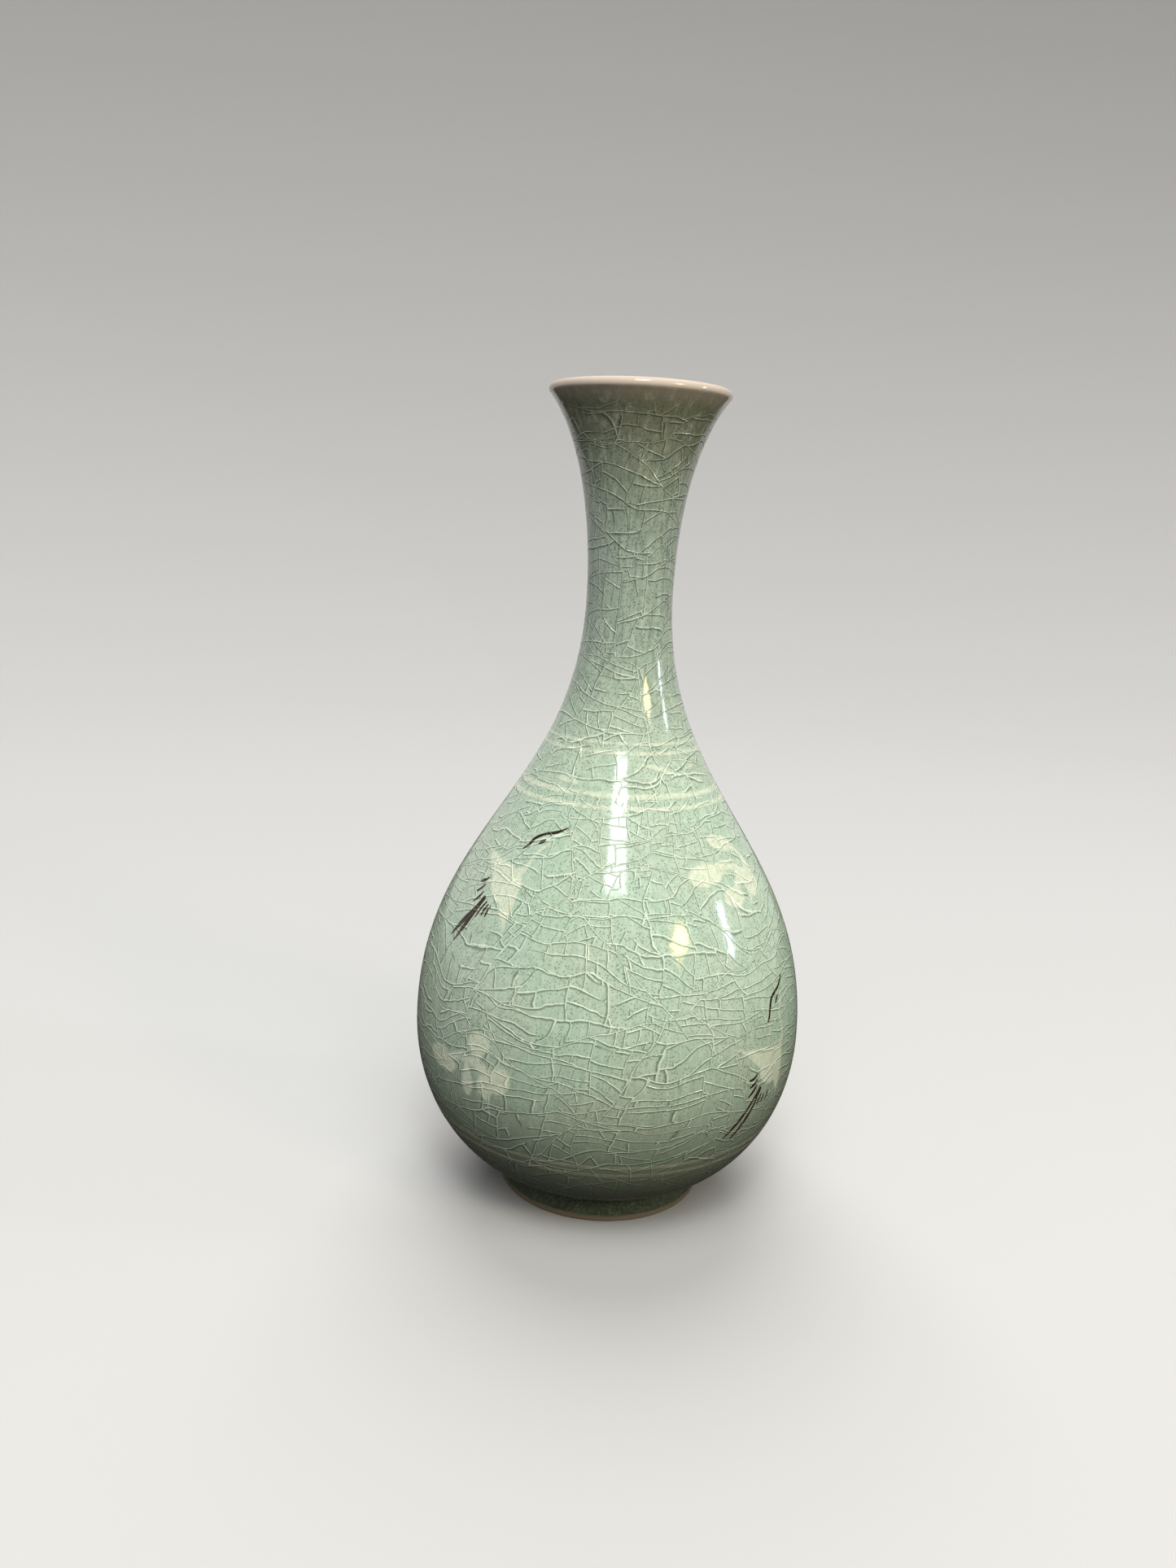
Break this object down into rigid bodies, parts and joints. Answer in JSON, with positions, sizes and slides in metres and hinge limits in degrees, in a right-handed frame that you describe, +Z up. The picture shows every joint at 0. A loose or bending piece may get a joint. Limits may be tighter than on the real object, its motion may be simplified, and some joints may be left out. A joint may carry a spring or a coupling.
{
  "type": "bottle vase",
  "caption": "Pear-shaped bottle vase with a slender neck, flared lip and foot ring, its wall inlaid with white and black slip cranes, clouds, leaves and lines under crackled glaze.",
  "frame": {"origin": "middle of the resting face, under the foot ring", "axes": "+Z up along the axis of the vase; -Y is the front, between the two columns of motifs; +X is to the right seen from the front"},
  "size_m": [0.1462, 0.1462, 0.3],
  "materials": {
    "glazed_clay": "glossy pale sage green celadon glaze with fine dark specks and a net of raised crackle lines",
    "white_slip": "white slip inlay under the same glossy crackled glaze",
    "black_slip": "dark brown-black slip inlay under the same glossy crackled glaze"
  },
  "bodies": {
    "root": {"cloud_1": "white_slip", "cloud_2": "white_slip", "cloud_3": "white_slip", "cloud_4": "white_slip", "crane_1_body": "white_slip", "crane_1_eye_mark": "black_slip", "crane_1_legs": "black_slip", "crane_1_neck_line": "black_slip", "crane_1_tail_feather_1": "black_slip", "crane_1_tail_feather_2": "black_slip", "crane_1_tail_feather_3": "black_slip", "crane_1_wing_feather_1": "black_slip", "crane_1_wing_feather_2": "black_slip", "crane_1_wing_feather_3": "black_slip", "crane_2_body": "white_slip", "crane_2_eye_mark": "black_slip", "crane_2_legs": "black_slip", "crane_2_neck_line": "black_slip", "crane_2_tail_feather_1": "black_slip", "crane_2_tail_feather_2": "black_slip", "crane_2_tail_feather_3": "black_slip", "crane_2_wing_feather_1": "black_slip", "crane_2_wing_feather_2": "black_slip", "crane_2_wing_feather_3": "black_slip", "crane_3_body": "white_slip", "crane_3_eye_mark": "black_slip", "crane_3_legs": "black_slip", "crane_3_neck_line": "black_slip", "crane_3_tail_feather_1": "black_slip", "crane_3_tail_feather_2": "black_slip", "crane_3_tail_feather_3": "black_slip", "crane_3_wing_feather_1": "black_slip", "crane_3_wing_feather_2": "black_slip", "crane_3_wing_feather_3": "black_slip", "crane_4_body": "white_slip", "crane_4_eye_mark": "black_slip", "crane_4_legs": "black_slip", "crane_4_neck_line": "black_slip", "crane_4_tail_feather_1": "black_slip", "crane_4_tail_feather_2": "black_slip", "crane_4_tail_feather_3": "black_slip", "crane_4_wing_feather_1": "black_slip", "crane_4_wing_feather_2": "black_slip", "crane_4_wing_feather_3": "black_slip", "foot_line_lower": "white_slip", "foot_line_upper": "white_slip", "leaf_1": "white_slip", "leaf_2": "white_slip", "leaf_3": "white_slip", "leaf_4": "white_slip", "leaf_5": "white_slip", "leaf_6": "white_slip", "neck_line_lower": "white_slip", "neck_line_upper": "white_slip", "shoulder_line_lower": "white_slip", "shoulder_line_upper": "white_slip", "vase_body": "glazed_clay"}
  },
  "joints": []
}
